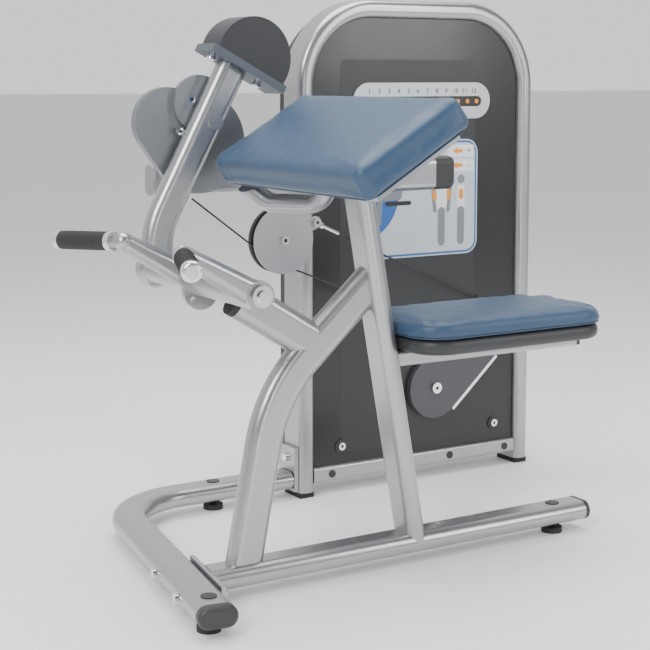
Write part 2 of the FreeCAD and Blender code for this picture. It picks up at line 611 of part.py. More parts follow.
# ---------------------------------------------------------------- arm pad and its carrier
pad_block = box("pad_block", "pad_long", "2 * pad_half", "pad_thick")
pad_soft = rounded("pad_soft", pad_block, "pad_round", lambda edge: edge.BoundBox.YLength > 100)
node(on_pad(pad_soft, -size("pad_long") / 2, -size("pad_half"), -size("pad_thick") / 2 + 0.3), "arm_pad")
node(on_pad(box("pad_plate", "pad_plate_long", "2 * pad_plate_half", "pad_plate_thick"),
            -size("pad_plate_long") / 2, -size("pad_plate_half"),
            -size("pad_thick") / 2 - size("pad_plate_thick")),
     "arm_pad_plate")
carrier_start = size("post_x") - size("carrier_back")
carrier = box("carrier_bar", "carrier_end - post_x + carrier_back", "tube_thin", "carrier_tall")
put(carrier, carrier_start, -size("tube_round"), size("carrier_z") - size("carrier_tall") / 2)
carrier_soft = rounded("carrier_round", carrier, "plug_round", lambda edge: edge.BoundBox.XLength > 100)
node(cut("carrier_cut", carrier_soft, post_solid), "pad_carrier_tube")
cap_blank = box("carrier_cap_block", "carrier_cap", "tube_thin", "carrier_tall")
put(cap_blank, size("carrier_end"), -size("tube_round"), size("carrier_z") - size("carrier_tall") / 2)
node(rounded("carrier_cap_round", cap_blank, "plug_round",
             lambda edge: edge.BoundBox.XLength > 10 or edge.BoundBox.XMin + size("centre_x")
             > size("carrier_end") + size("carrier_cap") - 1), "pad_carrier_cap")


def route_wire(points, radii):
    """Straight runs joined by tangent arcs, one radius for each inner point."""
    edges = []
    start = points[0]
    for before, corner, after, radius in zip(points, points[1:], points[2:], radii):
        come = (corner - before).normalize()
        leave = (after - corner).normalize()
        half = come.getAngle(leave) / 2
        reach = radius * math.tan(half)
        first = corner - come * reach
        last = corner + leave * reach
        inward = (leave - come).normalize()
        middle = corner + inward * (radius / math.cos(half) - radius)
        edges.append(Part.LineSegment(start, first).toShape())
        edges.append(Part.Arc(first, middle, last).toShape())
        start = last
    edges.append(Part.LineSegment(start, points[-1]).toShape())
    return Part.Wire(edges)


def swept(name, points, radii, radius):
    """Round solid along a route."""
    wire = route_wire(points, radii)
    heading = wire.Edges[0].tangentAt(wire.Edges[0].FirstParameter)
    section = Part.Wire(Part.Circle(points[0], heading, size(radius)).toShape())
    obj = doc.addObject("Part::Feature", name)
    obj.Shape = wire.makePipeShell([section], True, True)
    print(name, "length", round(wire.Length, 1), "radii", radii, "volume ratio",
          round(obj.Shape.Volume / (math.pi * size(radius) ** 2 * wire.Length), 4))
    put(obj, 0, 0, 0)
    return obj


BRACE_ROUTE = [Vector(590, 60, 1010), Vector(590, 95, 872), Vector(506, 211, 872), Vector(465, 290, 930)]
BRACE_RADII = [50, 55]
brace_outer = swept("brace_outer", BRACE_ROUTE, BRACE_RADII, "brace_round")
node(cut("brace_cut", brace_outer, above_plate("above_brace")), "pad_brace_tube")

# ---------------------------------------------------------------- lever shaft support
elbow_x, elbow_z = size("elbow_x"), size("elbow_z")
beam_top = elbow_z - size("beam_drop")
beam = box("beam_bar", "beam_end - elbow_x + upright_half", "tube_thin", "carrier_tall")
put(beam, elbow_x - size("upright_half"), size("beam_y") - size("tube_round"),
    beam_top - size("carrier_tall"))
beam_soft = rounded("beam_round", beam, "plug_round", lambda edge: edge.BoundBox.XLength > 100)
upright = put(box("beam_upright", "2 * upright_half", "upright_thin",
                  "elbow_z + upright_over - upright_base"),
              elbow_x - size("upright_half"), size("beam_y") - size("upright_shift"), size("upright_base"))
beam_bore = put(cylinder("beam_bore", "housing_round", "60"), elbow_x, size("beam_y") - 45, elbow_z, TO_BACK)
node(cut("beam_bored", join("beam_set", beam_soft, upright), beam_bore), "shaft_support_beam")
housing = put(cylinder("housing_tube", "housing_round", "housing_far - housing_near"),
              elbow_x, size("housing_near"), elbow_z, TO_BACK)
housing_bore = put(cylinder("housing_bore", "shaft_clear", "housing_far - housing_near"),
                   elbow_x, size("housing_near"), elbow_z, TO_BACK)
node(cut("housing_bored", housing, housing_bore), "bearing_housing")

# ---------------------------------------------------------------- pulley and cables
pulley_x, pulley_z = size("pulley_x"), size("pulley_z")
hanger_x = pulley_x - size("hanger_wide") / 2
hanger = put(box("hanger_plate", "hanger_wide", "hanger_thick", "elbow_z - beam_drop - hanger_base"),
             hanger_x, size("hanger_near"), size("hanger_base"))
hanger_far = size("hanger_near") + size("hanger_thick")
hanger_reach = "beam_y - tube_round - hanger_near - hanger_thick"
hanger_arm = put(box("hanger_arm", "hanger_wide", hanger_reach, "hanger_arm_tall"), hanger_x, hanger_far,
                 beam_top - size("hanger_arm_drop"))
hanger_bore = put(cylinder("hanger_bore", "axle_round", "hanger_thick"), pulley_x, size("hanger_near"),
                  pulley_z,
                  TO_BACK)
node(cut("hanger_bored", join("hanger_set", hanger, hanger_arm), hanger_bore), "pulley_hanger")

ear_near = size("ear_near")
disc = put(cylinder("guard_disc", "guard_disc_round", "ear_thick"), pulley_x, ear_near, pulley_z, TO_BACK)
ear = put(cylinder("guard_ear", "ear_round", "ear_thick"), size("ear_x"), ear_near, size("ear_z"), TO_BACK)
ear_angle = math.degrees(math.atan2(size("ear_z") - pulley_z, size("ear_x") - pulley_x))
web = put(box("guard_web", "ear_web_long", "ear_thick", "2 * ear_round"), pulley_x, ear_near, pulley_z,
          lean(-ear_angle))
web.Placement.Base = web.Placement.Base - lean(-ear_angle).multVec(Vector(0, 0, size("ear_round")))
ear_bore = put(cylinder("ear_bore", "bolt_round", "ear_thick"), size("ear_x"), ear_near, size("ear_z"),
               TO_BACK)
axle_bore = put(cylinder("disc_bore", "axle_round", "ear_thick"), pulley_x, ear_near, pulley_z, TO_BACK)
node(cut("guard_bored", join("guard_set", disc, ear, web), join("guard_bores", ear_bore, axle_bore)),
     "pulley_guard_plate")

axle_rod = put(cylinder("axle_rod", "axle_round", "axle_long"), pulley_x, ear_near, pulley_z, TO_BACK)
axle_head = put(cylinder("axle_head", "head_round", "head_tall"), pulley_x, ear_near, pulley_z, TO_FRONT)
node(join("axle_set", axle_rod, axle_head), "pulley_axle")

drum = put(cylinder("pulley_drum", "groove_round", "14"), pulley_x, size("pulley_near"), pulley_z, TO_BACK)
rim = put(cylinder("pulley_rim", "flange_round", "rim_wide"), pulley_x,
          size("pulley_near") + size("rim_wide"), pulley_z, TO_BACK)
wheel_bore = put(cylinder("wheel_bore", "axle_clear", "axle_long"), pulley_x, ear_near, pulley_z, TO_BACK)
node(cut("wheel_bored", join("wheel_set", drum, rim), wheel_bore), "transfer_pulley")

tower_entry = Vector(1443.9, 604, 514)
ear_spot = Vector(size("ear_x"), size("cable_y"), size("ear_z"))
pull = (tower_entry - ear_spot).normalize()
pull_turn = Rotation(Vector(0, 0, 1), pull)
terminal_bolt = put(cylinder("terminal_bolt", "bolt_round", "terminal_long"), size("ear_x"),
                    ear_near - size("terminal_lead"), size("ear_z"), TO_BACK)
terminal_head = put(cylinder("terminal_head", "head_round", "head_tall"), size("ear_x"), ear_near,
                    size("ear_z"),
                    TO_FRONT)
rod_spot = ear_spot
rod = put(cylinder("terminal_rod", "bolt_round - 1", "100"), rod_spot.x, rod_spot.y, rod_spot.z, pull_turn)
collar_spot = ear_spot + pull * size("collar_gap")
terminal_nut = put(cylinder("terminal_nut", "head_round - 1.5", "10"), collar_spot.x, collar_spot.y,
                   collar_spot.z,
                   pull_turn)
node(join("terminal_set", terminal_bolt, terminal_head, rod, terminal_nut), "cable_terminal")

cable_start = ear_spot + pull * size("cable_gap")
cable_run = (tower_entry - cable_start).Length
tail = cylinder("tower_cable_rod", "cable_round", "100")
tail.setExpression("Height", None)
tail.Height = cable_run
node(put(tail, cable_start.x, cable_start.y, cable_start.z, pull_turn), "tower_cable")

cable_y = size("cable_y")
ARM_CABLE_ROUTE = [Vector(413, cable_y, 870), Vector(644.5, cable_y, 697), Vector(760, cable_y, 652),
                   Vector(1149, 604, 503)]
node(swept("arm_cable_rod", ARM_CABLE_ROUTE, [58, 150], "cable_round"), "arm_cable")
grommets = []
for number, spot in enumerate((ARM_CABLE_ROUTE[-1], tower_entry)):
    ring = cylinder(f"grommet_{number}", "head_round", "8")
    grommets.append(put(ring, spot.x, size("panel_front"), spot.z, TO_FRONT))
node(join("grommet_set", *grommets), "cable_grommets")

# ---------------------------------------------------------------- resistance unit
rods = []
bores = []
for side in (-1, 1):
    x = size("tower_x") + side * size("rod_span")
    rods.append(put(cylinder(f"guide_rod_{side}", "rod_round", "rod_top - rod_low"), x, size("rod_y"),
                    size("rod_low")))
    bores.append(put(cylinder(f"carriage_bore_{side}", "rod_clear", "carriage_tall"), x, size("rod_y"),
                     size("carriage_low")))
node(join("rod_set", *rods), "guide_rods")
block = box("carriage_block", "carriage_wide", "carriage_deep", "carriage_tall")
put(block, size("tower_x") - size("carriage_wide") / 2, size("rod_y") - size("carriage_deep") / 2,
    size("carriage_low"))
node(cut("carriage_bored", block, join("carriage_bores", *bores)), "lift_carriage")

# ---------------------------------------------------------------- lever
lever_y = size("lever_y")
pivot_x, pivot_z = size("pivot_x"), size("pivot_z")
slope = size("lever_slope")
lever_top = line_at(size("lever_x"), size("lever_z"), slope, size("lever_run"))
lever_bar = bent("lever_bar", ["lever_run", "lever_stub"], [("lever_bend", "lever_turn", -1)],
                 "lever_wide", "lever_thin", "")
put(lever_bar, lever_top[0], lever_y, lever_top[1], Rotation(Vector(0, 1, 0), slope + 180))
boss = put(cylinder("lever_boss", "boss_round", "lever_thin"), size("boss_x"),
           lever_y - size("lever_thin") / 2, size("boss_z"),
           TO_BACK)
boss_soft = rounded("lever_boss_round", boss, "plug_round", lambda edge: True)
cross_hole = put(cylinder("cross_hole", "inner_round", "200"), pivot_x, lever_y - 80, pivot_z, TO_BACK)
shaft_hole = put(cylinder("lever_shaft_hole", "shaft_round", "200"), elbow_x, lever_y - 80, elbow_z, TO_BACK)
node(cut("lever_bored", join("lever_set", lever_bar, boss_soft), join("lever_holes", cross_hole, shaft_hole)),
     "movement_arm")

cross_tube = put(cylinder("cross_outer", "cross_round", "lever_y - lever_thin / 2 - cross_near"),
                 pivot_x,
                 size("cross_near"),
                 pivot_z, TO_BACK)
cross_shaft = put(cylinder("cross_shaft", "inner_round", "lever_y + lever_thin / 2 + sleeve_half + 1"),
                  pivot_x,
                  -size("sleeve_half") - 1, pivot_z, TO_BACK)
node(join("cross_set", cross_tube, cross_shaft), "arm_cross_tube")

shaft = put(cylinder("elbow_shaft", "shaft_round", "housing_far - shaft_near"), elbow_x, size("shaft_near"),
            elbow_z, TO_BACK)
shaft_cap = put(cylinder("elbow_cap", "shaft_cap_round", "shaft_cap_tall"), elbow_x, size("shaft_near") + 2,
                elbow_z, TO_FRONT)
node(join("shaft_set", shaft, shaft_cap), "pivot_shaft")

weight_disc = put(cylinder("weight_disc", "weight_round", "weight_far - weight_near"), size("weight_x"),
                  size("weight_near"), size("weight_z"), TO_BACK)
weight_trim = box("weight_trim", "400", "200", "300")
trim_turn = lean(slope)
trim_base = trim_turn.multVec(Vector(-size("trim_half"), 0, -size("trim_tall") - size("weight_chord")))
put(weight_trim, size("weight_x") + trim_base.x, size("weight_near") - 50, size("weight_z") + trim_base.z,
    trim_turn)
weight_cut = cut("weight_cut", weight_disc, weight_trim)
node(weight_cut, "counterweight")
plate_base = trim_turn.multVec(Vector(-size("weight_plate_long") / 2, 0,
                                      -size("weight_chord") - size("weight_plate_thick")))
weight_plate = box("weight_plate", "weight_plate_long", "weight_far - weight_near", "weight_plate_thick")
node(put(weight_plate, size("weight_x") + plate_base.x, size("weight_near"), size("weight_z") + plate_base.z,
         trim_turn), "counterweight_plate")
weight_bolts = []
CAM_BOLTS = ((398, 1118), (366, 1040))
for number, (x, z) in enumerate(CAM_BOLTS):
    cam_head = cylinder(f"cam_bolt_{number}", "head_round - 2", "head_tall")
    weight_bolts.append(put(cam_head, x, size("cam_near") - size("cam_crown_deep"), z, TO_FRONT))
for side, along in ((-1, -86), (1, 57)):
    spot = trim_turn.multVec(Vector(along, 0, -size("weight_chord") - size("weight_plate_thick")))
    head = cylinder(f"weight_bolt_{side}", "head_round", "head_tall")
    weight_bolts.append(put(head, size("weight_x") + spot.x, lever_y, size("weight_z") + spot.z,
                            lean(slope + 180)))
node(join("weight_bolt_set", *weight_bolts), "counterweight_bolts")

cam_thick = "cam_far - cam_near"
CAM_EGG = Vector(430, size("cam_near"), 1010)
CAM_LOBE = Vector(342, size("cam_near"), 1062)
CAM_STEPS = 7
outline = []
for step in range(CAM_STEPS + 1):
    growth = f"cam_lobe_round + (cam_egg_round - cam_lobe_round) * {step} / {CAM_STEPS}"
    spot = CAM_LOBE + (CAM_EGG - CAM_LOBE) * (step / CAM_STEPS)
    outline.append(put(cylinder(f"cam_disc_{step}", growth, cam_thick), spot.x, spot.y, spot.z, TO_BACK))
crown = put(cylinder("cam_crown", "cam_top_round", "cam_crown_deep"), size("crown_x"),
            size("cam_near") - size("cam_crown_deep"), size("crown_z"), TO_BACK)
hub = put(cylinder("cam_hub", "cross_round", "cam_crown_deep"), elbow_x,
          size("cam_near") - size("cam_crown_deep"), elbow_z, TO_BACK)
cam_bore = put(cylinder("cam_bore", "shaft_round", "60"), elbow_x, size("cam_near") - 20, elbow_z, TO_BACK)
node(cut("cam_bored", join("cam_set", *outline, crown, hub), cam_bore), "lever_cam")

# ---------------------------------------------------------------- yoke
sleeve = put(cylinder("sleeve_tube", "sleeve_round", "2 * sleeve_half"), pivot_x, -size("sleeve_half"),
             pivot_z,
             TO_BACK)
lug = put(cylinder("yoke_lug", "lug_round", "lug_thick"), pivot_x, size("lug_y"), pivot_z - 22, TO_BACK)
lug_hole = put(cylinder("yoke_lug_hole", "bolt_round", "lug_thick"), pivot_x - 22, size("lug_y"),
               pivot_z - 40,
               TO_BACK)
sleeve_bore = put(cylinder("sleeve_bore_tool", "sleeve_bore", "2 * sleeve_half"), pivot_x,
                  -size("sleeve_half"),
                  pivot_z, TO_BACK)
node(cut("sleeve_bored", join("sleeve_set", sleeve, lug), join("sleeve_tools", sleeve_bore, lug_hole)),
     "yoke_sleeve")



def tapered(name):
    """Yoke arm: a flat oval at the pivot that narrows towards the grip."""
    body = doc.addObject("PartDesign::Body", name)
    root = sketch_on(body, name + "_root")
    oval(root, "arm_tall", "arm_thin")
    tip = sketch_on(body, name + "_tip")
    tip.AttachmentOffset = Placement(Vector(0, 0, size("arm_run")), Rotation())
    oval(tip, "arm_tip", "arm_thin")
    loft = body.newObject("PartDesign::AdditiveLoft", name + "_loft")
    loft.Profile = root
    loft.Sections = [tip]
    loft.Ruled = True
    return body


arm_turn = lean(size("arm_slope") - 90)
elbow_step = arm_turn.multVec(Vector(0, 0, size("arm_run")))
sleeve_solid = put(cylinder("sleeve_solid", "sleeve_round", "2 * sleeve_half"), pivot_x, -size("sleeve_half"),
                   pivot_z, TO_BACK)
grips, fittings = [], []
for side, word in ((-1, "near"), (1, "far")):
    y = side * size("yoke_y")
    beam_arm = put(tapered(f"arm_bar_{word}"), pivot_x, y, pivot_z, arm_turn)
    ball = primitive("Sphere", f"arm_ball_{word}", Radius="arm_tip / 2")
    put(ball, pivot_x + elbow_step.x, y, pivot_z + elbow_step.z)
    sweep = math.radians(size("grip_sweep"))
    reach = Vector(-math.sin(sweep), side * math.cos(sweep), -math.sin(math.radians(size("grip_drop"))))
    grip_turn = Rotation(Vector(0, 0, 1), reach)

    def on_grip(obj, distance):
        return put(obj, pivot_x + elbow_step.x + reach.x * distance, y + reach.y * distance,
                   pivot_z + elbow_step.z + reach.z * distance, grip_turn)

    rod = on_grip(cylinder(f"grip_rod_{word}", "grip_rod_round", "grip_rod_run"), 0)
    whole = join(f"arm_whole_{word}", beam_arm, ball, rod)
    node(cut(f"arm_cut_{word}", whole, sleeve_solid), f"yoke_arm_{word}")
    hole = on_grip(cylinder(f"grip_hole_{word}", "grip_rod_round", "grip_rod_run"), 0)
    collar = on_grip(cylinder(f"grip_collar_{word}", "grip_round", "collar_long"), size("collar_start"))
    fittings.append(cut(f"collar_cut_{word}", collar, join(f"collar_tools_{word}", hole, ball)))
    rubber = on_grip(cylinder(f"grip_rubber_{word}", "grip_round - 1", "rubber_long"),
                     size("collar_start") + size("collar_long"))
    grips.append(cut(f"rubber_cut_{word}", rubber, hole))
    dome = on_grip(cylinder(f"grip_dome_{word}", "grip_round", "dome_long"), size("dome_start"))
    fittings.append(rounded(f"dome_round_{word}", dome, "dome_fillet",
                            lambda edge: edge.Length > 4 * size("grip_round") and side * edge.CenterOfMass.y
                            > side * (dome.Shape.CenterOfMass.y)))
node(join("grip_set", *grips), "hand_grips")
node(join("fitting_set", *fittings), "grip_fittings")

nut_ring = put(cylinder("nut_ring", "tube_round - 1", "8"), pivot_x, -size("sleeve_half") - 1, pivot_z,
               TO_FRONT)
nut_core = put(cylinder("nut_core", "head_round + 2", "6"), pivot_x, -size("sleeve_half") - 9, pivot_z,
               TO_FRONT)
node(join("nut_set", nut_ring, nut_core), "yoke_nut")

# ---------------------------------------------------------------- check and write
doc.recompute()
for obj in doc.Objects:
    if "Invalid" in obj.State or "Error" in obj.State:
        raise RuntimeError(f"{obj.Name} failed: {obj.State}")
os.makedirs("parts", exist_ok=True)
whole_box = FreeCAD.BoundBox()
for obj in NODES:
    if obj.Shape.isNull() or not obj.Shape.isValid() or obj.Shape.Volume <= 0:
        raise RuntimeError(f"{obj.Label} has no valid solid")
    obj.Shape.exportStep(f"parts/{obj.Label}.step")
    whole_box.add(obj.Shape.BoundBox)
print(len(NODES), "nodes, box", whole_box)
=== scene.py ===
"""Studio scene of a seated arm curl machine around its CAD frame. Lengths are metres, angles degrees."""
import math

import bmesh
import bpy
from mathutils import Matrix, Vector, noise


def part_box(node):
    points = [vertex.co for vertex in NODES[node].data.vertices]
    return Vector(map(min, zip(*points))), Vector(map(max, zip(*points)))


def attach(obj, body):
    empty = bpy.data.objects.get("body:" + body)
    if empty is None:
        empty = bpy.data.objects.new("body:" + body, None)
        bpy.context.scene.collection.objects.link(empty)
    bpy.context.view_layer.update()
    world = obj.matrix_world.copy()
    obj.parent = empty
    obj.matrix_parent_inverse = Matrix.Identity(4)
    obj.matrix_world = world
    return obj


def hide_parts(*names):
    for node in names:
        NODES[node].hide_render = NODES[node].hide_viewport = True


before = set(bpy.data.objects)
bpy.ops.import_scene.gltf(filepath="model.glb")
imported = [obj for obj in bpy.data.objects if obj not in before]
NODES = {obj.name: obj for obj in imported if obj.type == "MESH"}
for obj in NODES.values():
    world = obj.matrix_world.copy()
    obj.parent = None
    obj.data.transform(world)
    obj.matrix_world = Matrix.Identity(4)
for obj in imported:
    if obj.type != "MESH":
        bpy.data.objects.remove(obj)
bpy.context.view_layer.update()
CENTRE = Vector((0.815594, 0.1925, 0))


# ---------------------------------------------------------------- materials
def material(name, colour, metallic=0.0, rough=0.5, spread=0.06, tint=0.06, scale=60.0, grain=0.0,
             grain_scale=600.0, stretch=(1, 1, 1), coat=0.0, sheen=0.0, cells=False):
    """Principled surface with cloudy roughness and colour, and a fine grain as bump."""
    mat = bpy.data.materials.new(name)
    mat.use_nodes = True
    nodes, links = mat.node_tree.nodes, mat.node_tree.links
    shader = nodes["Principled BSDF"]
    shader.inputs["Metallic"].default_value = metallic
    shader.inputs["Coat Weight"].default_value = coat
    shader.inputs["Coat Roughness"].default_value = 0.12
    shader.inputs["Sheen Weight"].default_value = sheen
    place = nodes.new("ShaderNodeTexCoord")
    mapping = nodes.new("ShaderNodeMapping")
    mapping.inputs["Scale"].default_value = stretch
    links.new(place.outputs["Object"], mapping.inputs["Vector"])
    cloud = nodes.new("ShaderNodeTexNoise")
    cloud.inputs["Scale"].default_value = scale
    cloud.inputs["Detail"].default_value = 5
    links.new(mapping.outputs["Vector"], cloud.inputs["Vector"])
    level = nodes.new("ShaderNodeMapRange")
    level.inputs["To Min"].default_value = max(rough - spread, 0.02)
    level.inputs["To Max"].default_value = rough + spread
    links.new(cloud.outputs["Fac"], level.inputs["Value"])
    links.new(level.outputs["Result"], shader.inputs["Roughness"])
    ramp = nodes.new("ShaderNodeValToRGB")
    ramp.color_ramp.elements[0].color = [channel * (1 - tint) for channel in colour] + [1]
    ramp.color_ramp.elements[1].color = [min(channel * (1 + tint), 1) for channel in colour] + [1]
    links.new(cloud.outputs["Fac"], ramp.inputs["Fac"])
    links.new(ramp.outputs["Color"], shader.inputs["Base Color"])
    if grain:
        fine = nodes.new("ShaderNodeTexVoronoi" if cells else "ShaderNodeTexNoise")
        fine.inputs["Scale"].default_value = grain_scale
        links.new(mapping.outputs["Vector"], fine.inputs["Vector"])
        bump = nodes.new("ShaderNodeBump")
        bump.inputs["Strength"].default_value = grain
        bump.inputs["Distance"].default_value = 0.0006
        links.new(fine.outputs["Distance" if cells else "Fac"], bump.inputs["Height"])
        links.new(bump.outputs["Normal"], shader.inputs["Normal"])
    return mat


SILVER = material("silver_powder_coat", (0.42, 0.425, 0.435), 0.90, 0.30, 0.03, 0.03, 30, 0.10, 1400,
                  coat=0.15)
CHROME = material("polished_chrome", (0.82, 0.82, 0.84), 1.0, 0.09, 0.03, 0.02, 80)
PLASTIC = material("moulded_plastic", (0.030, 0.031, 0.034), 0.0, 0.46, 0.06, 0.12, 40, 0.25, 900)
RUBBER = material("matt_rubber", (0.022, 0.022, 0.024), 0.0, 0.72, 0.08, 0.15, 60, 0.45, 700)
PANEL = material("tower_panel", (0.011, 0.0115, 0.013), 0.0, 0.30, 0.04, 0.12, 12, 0.04, 500, coat=0.15)
PANEL_INSET = material("tower_panel_inset", (0.024, 0.025, 0.028), 0.0, 0.36, 0.05, 0.12, 12, 0.08, 500)
GUARD = material("guard_paint", (0.085, 0.088, 0.094), 0.3, 0.42, 0.05, 0.08, 30, 0.12, 900)
PLATE = material("selector_silver", (0.50, 0.52, 0.55), 0.55, 0.36, 0.04, 0.03, 40, 0.06, 900, (1, 1, 12))
CAM = material("cam_steel", (0.24, 0.252, 0.268), 0.75, 0.43, 0.06, 0.06, 40, 0.12, 700, (14, 1, 1))
DISC = material("guard_disc_steel", (0.42, 0.43, 0.445), 0.75, 0.42, 0.05, 0.04, 40, 0.10, 700, (12, 1, 1))
CHARCOAL = material("counterweight_paint", (0.032, 0.034, 0.038), 0.1, 0.50, 0.06, 0.12, 50, 0.5, 420,
                    cells=True)
SLATE = material("counterweight_plate_paint", (0.090, 0.108, 0.130), 0.35, 0.42, 0.05, 0.08, 50, 0.2, 700)
VINYL = material("blue_vinyl", (0.026, 0.064, 0.125), 0.0, 0.43, 0.04, 0.07, 22, 0.34, 620, sheen=0.05,
                 cells=True)
WELT = material("blue_vinyl_welt", (0.018, 0.046, 0.092), 0.0, 0.44, 0.05, 0.09, 60, 0.35, 900, sheen=0.1)
ORANGE = material("orange_mark", (0.80, 0.30, 0.02), 0.0, 0.34, 0.04, 0.05, 80, coat=0.3)
PRINT = material("placard_film", (0.56, 0.61, 0.66), 0.0, 0.33, 0.04, 0.03, 25, coat=0.25)
BLUE = material("placard_blue", (0.020, 0.130, 0.420), 0.0, 0.34, 0.04, 0.04, 40)
WHITE = material("placard_white", (0.82, 0.83, 0.84), 0.0, 0.36, 0.04, 0.02, 40)
# Black ink for the printed numbers and marks; the same material also paints the shade in bolt hex sockets.
INK_AND_SOCKET_SHADE = material("printed_ink_and_socket_shade", (0.012, 0.012, 0.014), 0.0, 0.40, 0.04, 0.05, 40)
FIGURE = material("figure_ink", (0.20, 0.22, 0.25), 0.0, 0.40, 0.04, 0.05, 40)
CORD = material("cable_jacket", (0.014, 0.014, 0.015), 0.0, 0.38, 0.05, 0.1, 200, 0.3, 1500)
ALUMINIUM = material("grip_end_aluminium", (0.72, 0.73, 0.74), 0.9, 0.24, 0.04, 0.03, 60)
FLOOR = material("pale_floor", (0.90, 0.90, 0.90), 0.0, 0.60, 0.03, 0.01, 3)
FLOOR.node_tree.nodes["Principled BSDF"].inputs["Emission Color"].default_value = (1.0, 1.0, 1.0, 1.0)
FLOOR.node_tree.nodes["Principled BSDF"].inputs["Emission Strength"].default_value = 0.12

FINISH = {
    CHROME: ["flange_bolts", "tower_bolts", "guard_hub", "guard_bar", "pulley_axle", "cable_terminal",
             "guide_rods", "counterweight_bolts", "yoke_nut"],
    ALUMINIUM: ["grip_fittings"],
    PLASTIC: ["front_foot_cap", "rail_end_cap", "foot_tube_plugs", "bar_plugs", "seat_tube_cap",
              "pad_carrier_cap", "seat_pan", "cable_grommets"],
    RUBBER: ["leveling_feet", "tower_feet", "stop_bumper", "hand_grips", "transfer_pulley"],
    PANEL: ["tower_front_panel", "tower_rear_shroud"],
    GUARD: ["lower_guard"],
    PLATE: ["selector_plate"],
    ORANGE: ["selector_dots"],
    PRINT: ["instruction_placard"],
    CAM: ["lever_cam"],
    DISC: ["pulley_guard_plate"],
    CHARCOAL: ["counterweight", "lift_carriage"],
    SLATE: ["counterweight_plate"],
    CORD: ["arm_cable", "tower_cable"],
    VINYL: ["seat_cushion", "arm_pad"],
}
chosen = {node: mat for mat, names in FINISH.items() for node in names}
for node_name, obj in NODES.items():
    mat = chosen.get(node_name, SILVER)
    if not obj.material_slots:
        obj.data.materials.append(mat)
    for slot in obj.material_slots:
        slot.material = mat


# ---------------------------------------------------------------- mesh helpers
def middle(node):
    low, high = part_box(node)
    return (Vector(low) + Vector(high)) / 2


def add(name, mesh, mat, body, smooth=True):
    """New piece from a mesh, in the row frame, riding on a body."""
    obj = bpy.data.objects.new(name, mesh)
    bpy.context.scene.collection.objects.link(obj)
    mesh.materials.clear()
    mesh.materials.append(mat)
    if smooth:
        mesh.shade_smooth()
    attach(obj, body)
    return obj


def rounded_block(name, size, plan_round, edge_round, crown, pitch, wrinkle=0.0):
    """Closed stuffed form about the origin, with a rounded plan, rounded edges and a crowned top."""
    half = Vector(size) / 2
    counts = [max(int(extent / pitch), 4) for extent in size]
    form = bmesh.new()
    corners = {}

    def vertex(i, j, k):
        key = (i, j, k)
        if key not in corners:
            corners[key] = form.verts.new([(index / count * 2 - 1) * reach
                                           for index, count, reach in zip(key, counts, half)])
        return corners[key]

    nx, ny, nz = counts
    for end in (0, nx):
        for j in range(ny):
            for k in range(nz):
                form.faces.new([vertex(end, j, k), vertex(end, j + 1, k), vertex(end, j + 1, k + 1),
                                vertex(end, j, k + 1)])
    for end in (0, ny):
        for i in range(nx):
            for k in range(nz):
                form.faces.new([vertex(i, end, k), vertex(i + 1, end, k), vertex(i + 1, end, k + 1),
                                vertex(i, end, k + 1)])
    for end in (0, nz):
        for i in range(nx):
            for j in range(ny):
                form.faces.new([vertex(i, j, end), vertex(i + 1, j, end), vertex(i + 1, j + 1, end),
                                vertex(i, j + 1, end)])
    for point in form.verts:
        x, y, z = point.co
        inner = Vector((max(-half.x + plan_round, min(half.x - plan_round, x)),
                        max(-half.y + plan_round, min(half.y - plan_round, y))))
        out = Vector((x, y)) - inner
        reach = max(abs(out.x), abs(out.y))
        side = reach - (plan_round - edge_round)
        rise = abs(z) - (half.z - edge_round)
        if side > 0 and rise > 0:
            longest = max(side, rise)
            turn = Vector((side, rise)).normalized() * longest
            side, rise = turn
            z = math.copysign(half.z - edge_round + rise, z)
            reach = plan_round - edge_round + side
        if out.length > 1e-9:
            spot = inner + out.normalized() * reach
        else:
            spot = inner
        dome = (1 - (spot.x / half.x) ** 2) * (1 - (spot.y / half.y) ** 2)
        lift = crown * dome * max(z / half.z, 0)
        crease = wrinkle * noise.noise(Vector((spot.x, spot.y, z)) * 28)
        point.co = Vector((spot.x, spot.y, z + lift + crease))
    bmesh.ops.recalc_face_normals(form, faces=form.faces)
    mesh = bpy.data.meshes.new(name)
    form.to_mesh(mesh)
    form.free()
    return mesh


PUFF_STEPS = 20


def puff(obj, base, pressure, cap):
    """Inflate a closed cushion as cloth, holding the points that base picks, each moving by cap at most."""
    mesh = obj.data
    start = [vertex.co.copy() for vertex in mesh.vertices]
    held = obj.vertex_groups.new(name="held")
    held.add([vertex.index for vertex in mesh.vertices if base(vertex.co)], 1.0, "REPLACE")
    cloth = obj.modifiers.new("inflate", "CLOTH")
    cloth.settings.quality = 4
    cloth.settings.mass = 0.25
    cloth.settings.tension_stiffness = 30
    cloth.settings.compression_stiffness = 30
    cloth.settings.bending_stiffness = 6
    cloth.settings.use_pressure = True
    cloth.settings.uniform_pressure_force = pressure
    cloth.settings.vertex_group_mass = "held"
    cloth.settings.effector_weights.gravity = 0
    for step in range(1, PUFF_STEPS + 1):
        bpy.context.scene.frame_set(step)
    settled = obj.evaluated_get(bpy.context.evaluated_depsgraph_get()).data
    for vertex, before, after in zip(mesh.vertices, start, [v.co.copy() for v in settled.vertices]):
        move = after - before
        vertex.co = before + move.normalized() * min(move.length, cap)
    obj.modifiers.remove(cloth)
    obj.vertex_groups.remove(held)
    bpy.context.scene.frame_set(1)


def ring_line(half_x, half_y, corner, steps=10):
    """Points round a rounded rectangle."""
    points = []
    for turn, (sx, sy) in enumerate(((1, 1), (-1, 1), (-1, -1), (1, -1))):
        for step in range(steps + 1):
            angle = math.radians(90 * turn + 90 * step / steps)
            points.append(Vector((sx * (half_x - corner) + corner * math.cos(angle),
                                  sy * (half_y - corner) + corner * math.sin(angle), 0)))
    return points


